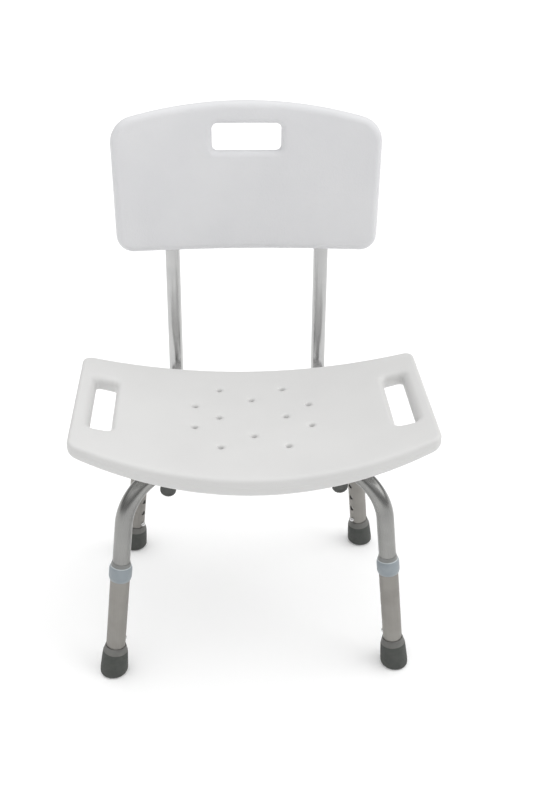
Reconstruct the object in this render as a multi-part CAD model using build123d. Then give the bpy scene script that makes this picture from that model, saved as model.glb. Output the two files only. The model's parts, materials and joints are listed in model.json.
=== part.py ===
"""A shower stool: a curved, hollow moulded seat with a hand hold at each end, on two crossed tube frames
whose four legs telescope on snap buttons, and a moulded backrest on two bent tubes bolted underneath.

Units are millimetres, +Z is up, +X is the sitter's left hand as they face forward, and the sitter faces -Y.
The origin is on the floor, at the centre of the whole stool's box."""

import math
import os

from build123d import *

# ---- seat panel ----
seat_half_width = 252.0
seat_thickness = 28.0        # on the centre line
seat_end_thickness = 22.5    # at the two ends
seat_centre_top = 365.5      # height of the top skin on the centre line
seat_sag = 36.6              # how much higher the two ends are
seat_corner_y_front = -142.5
seat_corner_y_back = 108.5
seat_front_bulge = 43.0
seat_back_bulge = 9.0
seat_corner_radius = 17.0
seat_top_edge_radius = 7.0
seat_bottom_edge_radius = 8.0
seat_skin = 3.0
hand_hold_x = (198.0, 228.0)
hand_hold_y = (-86.0, 49.0)
hand_hold_corner_radius = 8.0
hand_hold_top_edge = 10.0
hand_hold_bottom_edge = 9.0
drain_centre_y = -24.5
drain_spots = [(47.0, 78.5), (83.0, 28.8), (48.0, 0.0), (0.0, 49.7)]
drain_radius = 3.2
drain_mouth_radius = 5.8
drain_mouth_depth = 4.0
centre_recess_radius = 52.0
centre_recess_roof = 350.0
boss_radius = 17.0
boss_face = 335.0

# ---- leg frames ----
frame_tube_radius = 12.5
frame_tube_wall = 1.5
frame_run_height = 320.0
frame_bend_radius = 70.0
frame_joggle = 13.5          # one frame rises and the other drops by this much where they cross
joggle_inner, joggle_outer = 24.0, 58.0
joggle_radius = 60.0
foot_x_front, foot_x_back, foot_y = 213.4, 199.1, 152.8
leg_splay = 7.9              # degrees from upright, along each frame's own diagonal

# ---- telescopic legs, measured up the leg's axis from the floor ----
leg_tube_radius = 14.3
leg_tube_wall = 1.4
leg_tube_bottom, leg_tube_top = 10.5, 188.0
frame_tube_end = 40.0
collar_bottom, collar_top = 170.0, 199.2
button_height = 56.5
button_pitch = 25.0
button_holes = 5
button_radius = 3.8
button_hole_radius = 4.2
button_tip = 18.3            # from the leg's axis, pressed out by its spring
foot_radius = 20.5
foot_top = 50.0
foot_sole = 9.0

# ---- backrest ----
post_x = 115.0               # of the upright part
post_front_x = 122.0         # the run under the seat toes in towards the back
post_radius = 11.1
post_wall = 1.5
post_run_height = 293.5
post_bend_radius = 65.0
post_front_end = -97.0
post_seat_y = 194.8          # where the post's line crosses the height of the seat's centre
backrest_lean = 6.6          # degrees back from upright
post_top = 337.0             # up the post from the seat's height
back_bottom, back_top = 165.0, 385.0
back_half_width_top, back_half_width_bottom = 200.0, 197.5
back_thickness = 25.0
back_curve_radius = 1078.0
back_arch_radius = 700.0
back_front_at_post = -21.0   # front skin, measured from the post's axis
back_corner_top, back_corner_bottom = 38.0, 26.0
back_edge_radius = 11.0
back_slot_width, back_slot_height, back_slot_centre = 103.0, 40.0, 333.0
back_slot_corner = 8.0
back_screw_heights = (225.0, 305.0)

# ---- fasteners ----
bolt_radius = 3.0
bolt_hole_radius = 3.3
bolt_head_radius = 6.0
bolt_head_height = 3.6
insert_radius = 5.0
saddle_radius = 14.0
fit_gap = 0.25               # between faces that meet but aren't one piece

half_span = math.hypot((foot_x_front + foot_x_back) / 2, foot_y)
frame_mid_x = (foot_x_back - foot_x_front) / 2
tilt = math.radians(leg_splay)
corners = {
    "front_left": (1, -1),
    "front_right": (-1, -1),
    "back_left": (1, 1),
    "back_right": (-1, 1),
}
seat_curve_radius = (seat_half_width**2 + seat_sag**2) / (2 * seat_sag)
under_sag = seat_sag + seat_thickness - seat_end_thickness
under_curve_radius = (seat_half_width**2 + under_sag**2) / (2 * under_sag)
post_corner_y = post_seat_y - math.tan(math.radians(backrest_lean)) * (seat_centre_top - post_run_height)
post_toe = (post_front_x - post_x) / (post_corner_y - post_front_end)


def seat_top_at(x):
    """Height of the seat's top skin at a distance x from the centre line."""
    return seat_centre_top + seat_curve_radius - math.sqrt(seat_curve_radius**2 - x**2)


def foot_point(side, end):
    return (side * (foot_x_front if end < 0 else foot_x_back), end * foot_y, 0)


def leg_place(side, end):
    """A leg's own frame: origin on the floor, z up the leg, x towards the middle of the stool."""
    span = 2 * half_span
    inward = Vector(-side * (foot_x_front + foot_x_back) / span, -end * 2 * foot_y / span, 0)
    up = Vector(0, 0, 1)
    return Plane(
        origin=foot_point(side, end),
        x_dir=inward * math.cos(tilt) - up * math.sin(tilt),
        z_dir=inward * math.sin(tilt) + up * math.cos(tilt),
    )


def turned(points):
    """A solid of revolution about z from (radius, height) points."""
    outline = Polyline(*[(r, 0, h) for r, h in points], close=True)
    return revolve(make_face(outline), Axis.Z)


def rod(radius, low, high):
    """A cylinder on the z axis from one height to another."""
    return Pos(0, 0, (low + high) / 2) * Cylinder(radius, high - low)


def cross_rod(radius, low, high):
    """A cylinder on the x axis from one distance to another."""
    return Rot(0, 90, 0) * rod(radius, low, high)


def tube(path, radius, wall):
    start = Plane(origin=path @ 0, z_dir=path % 0)
    return sweep(start * (Circle(radius) - Circle(radius - wall)), path=path)


def solid_tube(path, radius):
    return sweep(Plane(origin=path @ 0, z_dir=path % 0) * Circle(radius), path=path)


# ---- leg frames ----


def frame_path(side, rise):
    """The centre line of the frame that joins the front leg on one side to the back leg on the other."""
    start = Vector(*foot_point(side, -1))
    end = Vector(*foot_point(-side, 1))
    along = (end - start).normalized()
    mid = (start + end) * 0.5

    def at(distance, height):
        return mid + along * distance + Vector(0, 0, height)

    corner = half_span - frame_run_height * math.tan(tilt)
    low = frame_tube_end * math.cos(tilt)
    low_span = half_span - frame_tube_end * math.sin(tilt)
    crossing = -mid.X / along.X
    raised = frame_run_height + rise
    points = [
        at(-low_span, low),
        at(-corner, frame_run_height),
        at(crossing - joggle_outer, frame_run_height),
        at(crossing - joggle_inner, raised),
        at(crossing + joggle_inner, raised),
        at(crossing + joggle_outer, frame_run_height),
        at(corner, frame_run_height),
        at(low_span, low),
    ]
    radii = [frame_bend_radius] + [joggle_radius] * 4 + [frame_bend_radius]
    return FilletPolyline(*points, radius=radii), along


def crossing_y():
    """Where both frames cross the centre line."""
    return foot_y * -frame_mid_x / ((foot_x_front + foot_x_back) / 2)


def frame_y_at(x, side):
    """Where a frame passes over a given x. side is the side of its front leg."""
    return foot_y * (-side * x - frame_mid_x) / ((foot_x_front + foot_x_back) / 2)


def bolt_spots():
    """(x, y, side of the frame's front leg) where a backrest tube passes under a leg frame."""
    frame_slope = foot_y / ((foot_x_front + foot_x_back) / 2)
    spots = []
    for post in (1, -1):
        for side in (1, -1):
            start = post_front_x + post_toe * (post_front_end + frame_slope * frame_mid_x)
            x = post * start / (1 - post_toe * frame_slope * side * post)
            spots.append((x, frame_y_at(x, side), side))
    return spots


def leg_frame(side, rise):
    path, along = frame_path(side, rise)
    body = tube(path, frame_tube_radius, frame_tube_wall)
    for x, y, owner in bolt_spots():
        if owner == side:
            body -= Pos(x, y, frame_run_height) * Cylinder(bolt_hole_radius, 40)
    body -= Pos(0, crossing_y(), frame_run_height + rise) * Cylinder(bolt_hole_radius, 40)
    for leg in ((side, -1), (-side, 1)):
        body -= leg_place(*leg) * Pos(0, 0, button_height) * cross_rod(button_hole_radius, 4, 16)
    return body


# ---- telescopic legs, each made in its leg's own frame ----


def leg_tube():
    body = rod(leg_tube_radius, leg_tube_bottom, leg_tube_top)
    body -= rod(leg_tube_radius - leg_tube_wall, leg_tube_bottom - 1, leg_tube_top + 1)
    for k in range(button_holes):
        body -= Pos(0, 0, button_height + k * button_pitch) * cross_rod(button_hole_radius, 4, 20)
    return body


def collar():
    """The bush on top of the leg tube, which guides the frame's tube and covers the edge."""
    grip = frame_tube_radius + 0.12
    skirt = leg_tube_radius + 0.05
    shape = turned([
        (skirt, collar_bottom), (15.3, collar_bottom), (16.6, collar_bottom + 4.5),
        (16.6, collar_top - 12.5), (16.2, collar_top - 9.5), (15.1, collar_top - 6.4),
        (14.5, collar_top - 5.4), (13.6, collar_top - 2.5), (13.0, collar_top),
        (grip, collar_top), (grip, leg_tube_top + 0.05), (skirt, leg_tube_top + 0.05),
    ])
    return shape


def rubber_foot():
    """The tip: coaxial with the leg, with a sole cut flat to the floor."""
    bore = leg_tube_radius + 0.05
    body = turned([
        (0, -8), (foot_radius, -8), (foot_radius, 9), (19.7, 24), (18.7, 37), (18.2, 40),
        (17.3, 42.4), (15.6, 48.5), (15.2, foot_top), (bore, foot_top), (bore, foot_sole), (0, foot_sole),
    ])
    floor = Plane(
        origin=(0, 0, 0),
        x_dir=(math.cos(tilt), 0, math.sin(tilt)),
        z_dir=(-math.sin(tilt), 0, math.cos(tilt)),
    )
    body -= floor * Pos(0, 0, -20) * Box(90, 90, 40)
    sole = body.faces().sort_by(lambda f: floor.to_local_coords(f.center()).Z)[0]
    body = fillet(sole.outer_wire().edges(), 5.0)
    for ring in (7.0, 13.0):
        groove = Cylinder(ring + 1.2, 2.4) - Cylinder(ring - 1.2, 2.4)
        body -= floor * groove
    return body


def foot_washer():
    return rod(13.4, foot_sole + 0.1, leg_tube_bottom - 0.1) - rod(4.0, 0, 20)


def snap_button():
    flange = rod(4.8, 8.1, 9.5)
    shank = rod(button_radius, 9.0, button_tip - 2.2)
    dome = Pos(0, 0, button_tip - 4.6) * Sphere(4.6)
    dome &= rod(button_radius, button_tip - 2.4, button_tip + 1)
    return Pos(0, 0, button_height) * Rot(0, 90, 0) * (flange + shank + dome)


def leaf_spring():
    """The bent strip inside the frame's tube that pushes the button out."""
    near, far, strip = 7.9, -9.1, 0.8
    low, turn = button_height - 12, button_height + 18
    middle, outer = (near + far) / 2, (near - far) / 2
    outline = Rectangle(2 * outer, turn - low, align=(Align.CENTER, Align.MIN))
    inner = Rectangle(2 * (outer - strip), turn - low, align=(Align.CENTER, Align.MIN))
    bend = Pos(0, turn - low) * (Circle(outer) - Circle(outer - strip))
    bend &= Pos(0, turn - low + outer) * Rectangle(4 * outer, 2 * outer)
    clip = outline - inner + bend
    return Plane.XZ * Pos(middle, low) * extrude(clip, 4, both=True)


# ---- seat ----


def seat_band(skin):
    """All that lies between the two curved faces, less a skin, for cutting the seat out of its plan."""
    under = seat_centre_top - seat_thickness + under_curve_radius
    top = seat_centre_top + seat_curve_radius
    band = Pos(0, 0, under) * Rot(90, 0, 0) * Cylinder(under_curve_radius - skin, 700)
    return band - Pos(0, 0, top) * Rot(90, 0, 0) * Cylinder(seat_curve_radius + skin, 700)


def seat_plan(inset):
    w, front, back = seat_half_width, seat_corner_y_front, seat_corner_y_back
    edges = [
        ThreePointArc((-w, front), (0, front - seat_front_bulge), (w, front)),
        Line((w, front), (w, back)),
        ThreePointArc((w, back), (0, back + seat_back_bulge), (-w, back)),
        Line((-w, back), (-w, front)),
    ]
    plan = make_face(edges)
    plan = fillet(plan.vertices(), seat_corner_radius)
    if inset:
        plan = offset(plan, -inset, kind=Kind.INTERSECTION)
    return Pos(0, 0, 300) * extrude(plan, 150)


def hand_hold(side, grow=0.0):
    """The block that cuts one hand hold through the seat."""
    (x0, x1), (y0, y1) = hand_hold_x, hand_hold_y
    hole = RectangleRounded(x1 - x0 + 2 * grow, y1 - y0 + 2 * grow, hand_hold_corner_radius + grow)
    return Pos(side * (x0 + x1) / 2, (y0 + y1) / 2, 300) * extrude(hole, 150)


def drain_points():
    spots = {(sx * x, sy * y) for x, y in drain_spots for sx in (-1, 1) for sy in (-1, 1)}
    return [(x, drain_centre_y + y) for x, y in sorted(spots)]


def skin_edges(body, top):
    """(outer edges, hand hold edges) of the seat's top or bottom skin."""
    skins = body.faces().sort_by(SortBy.AREA)[-2:].sort_by(Axis.Z)
    skin = skins[-1] if top else skins[0]
    holes = [e for w in skin.inner_wires() for e in w.edges()]
    return skin.outer_wire().edges(), holes


def seat_panel():
    body = seat_plan(0) & seat_band(0)
    body = fillet(skin_edges(body, True)[0], seat_top_edge_radius)
    body = fillet(skin_edges(body, False)[0], seat_bottom_edge_radius)
    for side in (1, -1):
        body -= hand_hold(side)
    body = fillet(skin_edges(body, True)[1], hand_hold_top_edge)
    body = fillet(skin_edges(body, False)[1], hand_hold_bottom_edge)
    for x, y, _ in bolt_spots():
        body += Pos(x, y, 0) * rod(boss_radius - 2, boss_face, seat_top_at(x) - 15)
    recess = Pos(0, crossing_y(), 0) * rod(centre_recess_radius, 300, centre_recess_roof)
    body -= recess
    body -= seat_cavity()
    for x, y in drain_points():
        top = seat_top_at(x)
        body -= Pos(x, y, 0) * rod(drain_radius, 300, 420)
        mouth = Cone(drain_radius, drain_mouth_radius + 1.3, drain_mouth_depth + 2)
        body -= Pos(x, y, top - drain_mouth_depth / 2 + 1) * mouth
    for x, y, _ in bolt_spots():
        body -= Pos(x, y, 0) * rod(insert_radius + 0.05, boss_face - 1, boss_face + 16.2)
    return body


def seat_cavity():
    """The air inside the moulding, kept clear of everything that passes through it."""
    air = seat_plan(8) & seat_band(seat_skin)
    for side in (1, -1):
        air -= hand_hold(side, grow=12)
    for x, y in drain_points():
        air -= Pos(x, y, 0) * rod(drain_mouth_radius + 2.5, 300, 420)
    for x, y, _ in bolt_spots():
        air -= Pos(x, y, 0) * rod(boss_radius, 300, 420)
    air -= Pos(0, crossing_y(), 0) * rod(centre_recess_radius + 4, 300, centre_recess_roof + seat_skin)
    return air


# ---- what holds the seat, the frames and the backrest tubes together ----


def frame_bulk(side):
    """A whole frame as a bar, a little thicker than its tube."""
    path, _ = frame_path(side, side * frame_joggle)
    return solid_tube(path, frame_tube_radius + fit_gap)


def toe_turn(side):
    """Turns the fore-and-aft direction to that of a backrest tube's run."""
    return Rot(0, 0, side * math.degrees(math.atan(post_toe)))


def along_post(x, y):
    bar = Rot(90, 0, 0) * Cylinder(post_radius + fit_gap, 80)
    return Pos(x, y, post_run_height) * toe_turn(math.copysign(1, x)) * bar


def seat_saddle(x, y, side):
    """Sits between the seat's boss and the frame."""
    low, high = frame_run_height + 7, boss_face - fit_gap
    block = rod(saddle_radius, low, high) - rod(bolt_hole_radius, 0, 400)
    return Pos(x, y, 0) * block - frame_bulk(side)


def cross_saddle(x, y, side):
    """Sits between the frame and the backrest's tube, hollowed on both faces."""
    low, high = post_run_height + 6, frame_run_height - 7
    block = rod(saddle_radius, low, high) - rod(bolt_hole_radius, 0, 400)
    return Pos(x, y, 0) * block - frame_bulk(side) - along_post(x, y)


def bolt_saddle(x, y):
    """Spreads the bolt's head under the round tube."""
    low, high = post_run_height - post_radius - 2.5, post_run_height - 7.5
    block = rod(9.0, low, high) - rod(bolt_hole_radius, 0, 400)
    return Pos(x, y, 0) * block - along_post(x, y)


def seat_bolt(x, y):
    under = post_run_height - post_radius - 2.5 - fit_gap
    head = rod(bolt_head_radius, under - bolt_head_height, under)
    head = fillet(head.edges().sort_by(Axis.Z)[0], 1.6)
    socket = Pos(0, 0, under - bolt_head_height) * extrude(RegularPolygon(2.0, 6), 2.0)
    return Pos(x, y, 0) * (head + rod(bolt_radius, under - 1, boss_face + 15) - socket)


def seat_insert(x, y):
    return Pos(x, y, 0) * (rod(insert_radius, boss_face, boss_face + 16) - rod(bolt_radius + 0.05, 0, 400))


def centre_saddle():
    """Keeps the two frames apart where they cross."""
    middle = frame_run_height
    block = rod(saddle_radius, middle - 6.5, middle + 6.5) - rod(bolt_hole_radius, 0, 400)
    block = Pos(0, crossing_y(), 0) * block
    return block - frame_bulk(1) - frame_bulk(-1)


def centre_rivet():
    low = frame_run_height - frame_joggle - frame_tube_radius - fit_gap
    high = frame_run_height + frame_joggle + frame_tube_radius + fit_gap
    shank = rod(bolt_radius, low - 1, high + 1)
    heads = rod(7.0, low - 2.4, low) + rod(7.0, high, high + 2.4)
    rims = heads.edges().sort_by(Axis.Z)
    heads = fillet([rims[0], rims[-1]], 1.9)
    return Pos(0, crossing_y(), 0) * (shank + heads)


# ---- backrest ----


def post_path(side):
    lean = math.tan(math.radians(backrest_lean))
    rise = post_top * math.cos(math.radians(backrest_lean))
    points = [
        (side * post_front_x, post_front_end, post_run_height),
        (side * post_x, post_corner_y, post_run_height),
        (side * post_x, post_seat_y + lean * rise, seat_centre_top + rise),
    ]
    return FilletPolyline(*points, radius=post_bend_radius)


def back_place():
    """The backrest's own frame: y backwards through the panel, z up the posts."""
    lean = math.radians(backrest_lean)
    return Plane(
        origin=(0, post_seat_y, seat_centre_top),
        x_dir=(1, 0, 0),
        z_dir=(0, math.sin(lean), math.cos(lean)),
    )


def backrest_tube(side):
    body = tube(post_path(side), post_radius, post_wall)
    for x, y, _ in bolt_spots():
        if x * side > 0:
            body -= Pos(x, y, post_run_height) * Cylinder(bolt_hole_radius, 40)
    for height in back_screw_heights:
        body -= back_place() * Pos(side * post_x, 0, height) * Rot(90, 0, 0) * Cylinder(bolt_hole_radius, 40)
    return body


def back_band(front_offset, rear_offset):
    front = back_front_at_post + post_x**2 / (2 * back_curve_radius)
    ring = Cylinder(back_curve_radius + rear_offset, 900) - Cylinder(back_curve_radius + front_offset, 900)
    return Pos(0, front - back_curve_radius, 0) * ring


def back_outline(inset):
    drop = back_half_width_top**2 / (2 * back_arch_radius)
    top_corner = (back_half_width_top, back_top - drop)
    low_corner = (back_half_width_bottom, back_bottom)
    edges = [
        Line((-low_corner[0], low_corner[1]), low_corner),
        Line(low_corner, top_corner),
        ThreePointArc(top_corner, (0, back_top), (-top_corner[0], top_corner[1])),
        Line((-top_corner[0], top_corner[1]), (-low_corner[0], low_corner[1])),
    ]
    face = make_face(edges)
    ends = face.vertices().sort_by(Axis.Y)
    face = fillet(ends[:2], back_corner_bottom)
    ends = face.vertices().sort_by(Axis.Y)
    face = fillet(ends[-2:], back_corner_top)
    if inset:
        face = offset(face, -inset, kind=Kind.INTERSECTION)
    return Plane.XZ * extrude(face, 90, both=True)


def back_slot(grow=0.0):
    hole = RectangleRounded(back_slot_width + 2 * grow, back_slot_height + 2 * grow, back_slot_corner + grow)
    return Plane.XZ * Pos(0, back_slot_centre) * extrude(hole, 90, both=True)


def back_skin_edges(body, rear):
    skins = body.faces().sort_by(SortBy.AREA)[-2:].sort_by(Axis.Y)
    skin = skins[-1] if rear else skins[0]
    holes = [e for w in skin.inner_wires() for e in w.edges()]
    return skin.outer_wire().edges(), holes


def backrest_panel():
    body = back_outline(0) & back_band(0, back_thickness)
    body = fillet(back_skin_edges(body, False)[0], back_edge_radius)
    body = fillet(back_skin_edges(body, True)[0], back_edge_radius)
    body -= back_slot()
    body = fillet(back_skin_edges(body, False)[1], 9.0)
    body = fillet(back_skin_edges(body, True)[1], 9.0)
    body -= back_cavity()
    groove = post_radius + 0.3
    for side in (1, -1):
        body -= Pos(side * post_x, 0, 0) * rod(groove, 0, post_top + 6)
        opening = Box(2 * groove, 40, post_top + 6, align=(Align.CENTER, Align.MIN, Align.MIN))
        body -= Pos(side * post_x, 0, 0) * opening
        for height in back_screw_heights:
            body -= Pos(side * post_x, 0, height) * Rot(90, 0, 0) * rod(4.55, 0, 17.8)
    return back_place() * body


def back_cavity():
    """The air inside the backrest, kept clear of its slot and of the posts' grooves."""
    air = back_outline(8) & back_band(seat_skin, back_thickness - seat_skin)
    air -= back_slot(grow=12)
    for side in (1, -1):
        air -= Pos(side * post_x, 0, 0) * Box(30, 80, 2 * (post_top + 12))
    return air


def back_screw(side, height):
    """Runs forward through the post into the panel's insert."""
    seat = post_radius + 1.2 + fit_gap
    head = rod(5.6, seat, seat + 3.4)
    head = fillet(head.edges().sort_by(Axis.Z)[-1], 1.8)
    drive = Pos(0, 0, seat + 1.6) * (Box(6, 1.2, 4) + Box(1.2, 6, 4))
    screw = head - drive + rod(2.5, -17.0, seat + 1)
    return back_place() * Pos(side * post_x, 0, height) * Rot(-90, 0, 0) * screw


def back_washer(side, height):
    ring = rod(7.0, post_radius + 0.1, post_radius + 1.2) - rod(3.0, 0, 40)
    return back_place() * Pos(side * post_x, 0, height) * Rot(-90, 0, 0) * ring


def back_insert(side, height):
    sleeve = rod(4.5, -17.7, -12.0) - rod(2.55, -20, 0)
    return back_place() * Pos(side * post_x, 0, height) * Rot(-90, 0, 0) * sleeve


def end_cap():
    """A push-in plug for the end of a backrest tube, facing +z."""
    head = rod(post_radius + 0.3, 0, 4.2)
    head = fillet(head.edges().sort_by(Axis.Z)[-1], 1.8)
    plug = rod(post_radius - post_wall - 0.1, -9, 0.5) - rod(6.5, -10, -2)
    return head + plug


def front_cap(side):
    plug = Rot(90, 0, 0) * Pos(0, 0, 0.05) * end_cap()
    return Pos(side * post_front_x, post_front_end, post_run_height) * toe_turn(side) * plug


def top_cap(side):
    return back_place() * Pos(side * post_x, 0, post_top + 0.05) * end_cap()


# ---- the whole stool ----


def group(parts):
    return Compound([solid for part in parts for solid in part.solids()])


def build():
    spots = bolt_spots()
    nodes = {
        "seat_panel": seat_panel(),
        "leg_frame_upper": leg_frame(1, frame_joggle),
        "leg_frame_lower": leg_frame(-1, -frame_joggle),
        "crossing_saddle": centre_saddle(),
        "crossing_rivet": centre_rivet(),
        "seat_saddles": group([seat_saddle(*s) for s in spots]),
        "tube_saddles": group([cross_saddle(*s) for s in spots]),
        "bolt_saddles": group([bolt_saddle(x, y) for x, y, _ in spots]),
        "seat_bolts": group([seat_bolt(x, y) for x, y, _ in spots]),
        "seat_inserts": group([seat_insert(x, y) for x, y, _ in spots]),
        "backrest_panel": backrest_panel(),
        "backrest_tube_left": backrest_tube(1),
        "backrest_tube_right": backrest_tube(-1),
        "front_cap_left": front_cap(1),
        "front_cap_right": front_cap(-1),
        "post_caps": group([top_cap(side) for side in (1, -1)]),
    }
    screws = [(side, height) for side in (1, -1) for height in back_screw_heights]
    nodes["backrest_screws"] = group([back_screw(*s) for s in screws])
    nodes["backrest_washers"] = group([back_washer(*s) for s in screws])
    nodes["backrest_inserts"] = group([back_insert(*s) for s in screws])
    leg_parts = {
        "leg_tube": leg_tube(),
        "leg_collar": collar(),
        "leg_foot": rubber_foot(),
        "foot_washer": foot_washer(),
        "snap_button": snap_button(),
        "leaf_spring": leaf_spring(),
    }
    for corner, spot in corners.items():
        for name, shape in leg_parts.items():
            nodes[f"{name}_{corner}"] = leg_place(*spot) * shape
    return nodes


nodes = build()
box = group(nodes.values()).bounding_box()
shift = Pos(0, -(box.min.Y + box.max.Y) / 2, 0)

os.makedirs("parts", exist_ok=True)
for name, shape in nodes.items():
    placed = [shift * solid for solid in shape.solids()]
    export_step(placed[0] if len(placed) == 1 else Compound(placed), f"parts/{name}.step")
print("nodes", len(nodes), "moved in y by", round(shift.position.Y, 3))
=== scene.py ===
import json
import math

import bmesh
import bpy
from mathutils import Matrix, Vector
from mathutils.geometry import delaunay_2d_cdt


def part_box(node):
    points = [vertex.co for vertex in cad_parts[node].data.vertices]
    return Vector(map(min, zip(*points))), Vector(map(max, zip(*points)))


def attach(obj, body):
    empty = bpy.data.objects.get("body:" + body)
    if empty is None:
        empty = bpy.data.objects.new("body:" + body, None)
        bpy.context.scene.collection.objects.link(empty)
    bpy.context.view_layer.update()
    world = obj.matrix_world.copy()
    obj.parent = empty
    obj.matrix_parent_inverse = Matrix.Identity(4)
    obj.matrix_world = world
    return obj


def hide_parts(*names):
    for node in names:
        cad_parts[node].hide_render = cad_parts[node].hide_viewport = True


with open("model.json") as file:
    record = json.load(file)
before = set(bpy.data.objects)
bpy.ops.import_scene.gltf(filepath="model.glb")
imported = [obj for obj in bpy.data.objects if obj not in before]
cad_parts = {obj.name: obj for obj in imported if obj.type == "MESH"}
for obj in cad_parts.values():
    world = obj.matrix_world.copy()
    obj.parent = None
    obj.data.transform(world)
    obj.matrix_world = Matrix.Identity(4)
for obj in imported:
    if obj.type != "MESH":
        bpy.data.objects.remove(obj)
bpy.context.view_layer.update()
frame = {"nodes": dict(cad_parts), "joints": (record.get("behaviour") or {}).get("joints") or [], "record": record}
soles = {m["name"].replace("sole_", ""): Vector(m["pos_m"]) for m in frame["record"]["mounts"]}
joints = {j["name"]: j for j in frame["joints"]}
corners = sorted(soles)
print("frame loaded,", len(frame["nodes"]), "CAD nodes")


def arcBetween(centre, start, end, step=7.0):
    # points round centre from start to end, the short way
    a, b = start - centre, end - centre
    turn = a.angle(b)
    count = max(2, math.ceil(math.degrees(turn) / step))
    points = []
    for i in range(count + 1):
        t = i / count
        points.append(centre + (a * math.sin((1 - t) * turn) + b * math.sin(t * turn)) / math.sin(turn))
    return points


def roundCorners(points, radii, closed=False, step=7.0):
    points = [Vector(p) for p in points]
    if not hasattr(radii, "__len__"):
        radii = [radii] * len(points)
    rounded = []
    for i, (corner, radius) in enumerate(zip(points, radii)):
        if radius <= 0 or (not closed and i in (0, len(points) - 1)):
            rounded.append(corner)
            continue
        back = (points[i - 1] - corner).normalized()
        ahead = (points[(i + 1) % len(points)] - corner).normalized()
        angle = back.angle(ahead)
        reach = radius / math.tan(angle / 2)
        centre = corner + (back + ahead).normalized() * (radius / math.sin(angle / 2))
        rounded += arcBetween(centre, corner + back * reach, corner + ahead * reach, step)
    return rounded


def spaced(points, gap, closed=True):
    # the same line, with points added so that none is further than gap from the next
    filled = []
    pairs = zip(points, points[1:] + points[:1] if closed else points[1:])
    for a, b in pairs:
        count = max(1, math.ceil((b - a).length / gap))
        filled += [a.lerp(b, i / count) for i in range(count)]
    return filled if closed else filled + [points[-1]]


def inset(loop, amount):
    # a closed counterclockwise loop moved inwards; a negative amount moves it out
    moved = []
    for i, p in enumerate(loop):
        a = (p - loop[i - 1]).normalized()
        b = (loop[(i + 1) % len(loop)] - p).normalized()
        normal = Vector((-(a.y + b.y), a.x + b.x)).normalized()
        moved.append(p + normal * (amount / max(0.2, math.sqrt((1 + a.dot(b)) / 2))))
    return moved


def circleLoop(x, y, radius, count=24):
    turns = [2 * math.pi * i / count for i in range(count)]
    return [Vector((x + radius * math.cos(t), y + radius * math.sin(t))) for t in turns]


def insideLoop(point, loop):
    inside = False
    for i, b in enumerate(loop):
        a = loop[i - 1]
        if (a.y > point.y) != (b.y > point.y):
            if point.x < a.x + (point.y - a.y) / (b.y - a.y) * (b.x - a.x):
                inside = not inside
    return inside


def cornerOnArc(lineFrom, lineTo, inward, arcCentre, arcRadius, radius):
    # the rounded corner between a straight side and a bowed one, from the side to the bow
    along = (lineTo - lineFrom).normalized()
    start = lineTo + inward * radius - arcCentre
    half = start.dot(along)
    gap = (arcRadius - radius) ** 2 - start.length_squared + half * half
    roots = [-half + math.sqrt(gap), -half - math.sqrt(gap)]
    centre = arcCentre + start + along * min(roots, key=abs)
    onBow = arcCentre + (centre - arcCentre).normalized() * arcRadius
    return arcBetween(centre, centre - inward * radius, onBow)


def ringOf(mesh, points):
    return [mesh.verts.new(p) for p in points]


def joinRings(mesh, first, second, closed=True):
    count = len(first) if closed else len(first) - 1
    for i in range(count):
        j = (i + 1) % len(first)
        mesh.faces.new((first[i], first[j], second[j], second[i]))


def joinStack(mesh, rings):
    for first, second in zip(rings, rings[1:]):
        joinRings(mesh, first, second)


def edgeWall(mesh, loop, profile, sign, place):
    # a moulded edge round a loop; sign is 1 for an outside edge and -1 for a hole's
    rings = [inset(loop, sign * across) for across, _ in profile]
    verts = [ringOf(mesh, [place(p, deep) for p in ring]) for ring, (_, deep) in zip(rings, profile)]
    joinStack(mesh, verts)
    return (rings[0], verts[0]), (rings[-1], verts[-1])


def fillBetween(mesh, outer, holes, place, grid):
    # outer and holes are (flat loop, its vertices); grid is the spacing of the points added inside
    clear = 0.7 * grid    # no added point comes nearer to a border than this
    flat, known, edges = [], [], []
    for loop, verts in [outer, *holes]:
        first = len(flat)
        flat += [Vector((p.x, p.y)) for p in loop]
        known += verts
        edges += [(first + i, first + (i + 1) % len(loop)) for i in range(len(loop))]
    border = list(flat)
    low = Vector((min(p.x for p in border), min(p.y for p in border)))
    high = Vector((max(p.x for p in border), max(p.y for p in border)))
    columns, rows = int((high.x - low.x) / grid), int((high.y - low.y) / grid)
    for i in range(columns + 1):
        for j in range(rows + 1):
            p = Vector((low.x + (i + 0.5) * grid, low.y + (j + 0.5 * (i % 2)) * grid))
            near = min((p - b).length_squared for b in border)
            if near < clear**2 or not insideLoop(p, outer[0]):
                continue
            if not any(insideLoop(p, loop) for loop, _ in holes):
                flat.append(p)
    points, _, triangles, sources, _, _ = delaunay_2d_cdt(flat, edges, [], 0, 1e-7)
    verts = []
    for p, source in zip(points, sources):
        old = [s for s in source if s < len(known)]
        verts.append(known[old[0]] if old else mesh.verts.new(place(p)))
    for triangle in triangles:
        middle = sum((points[i] for i in triangle), Vector((0, 0))) / 3
        if insideLoop(middle, outer[0]) and not any(insideLoop(middle, loop) for loop, _ in holes):
            mesh.faces.new([verts[i] for i in triangle])


def newPiece(name, mesh, material, body, nodes, sharp=35):
    bmesh.ops.recalc_face_normals(mesh, faces=mesh.faces)
    data = bpy.data.meshes.new(name)
    mesh.to_mesh(data)
    mesh.free()
    data.shade_smooth()
    data.set_sharp_from_angle(angle=math.radians(sharp))
    data.materials.append(material)
    piece = bpy.data.objects.new(name, data)
    bpy.context.scene.collection.objects.link(piece)
    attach(piece, body)
    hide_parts(*nodes)
    return piece


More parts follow.
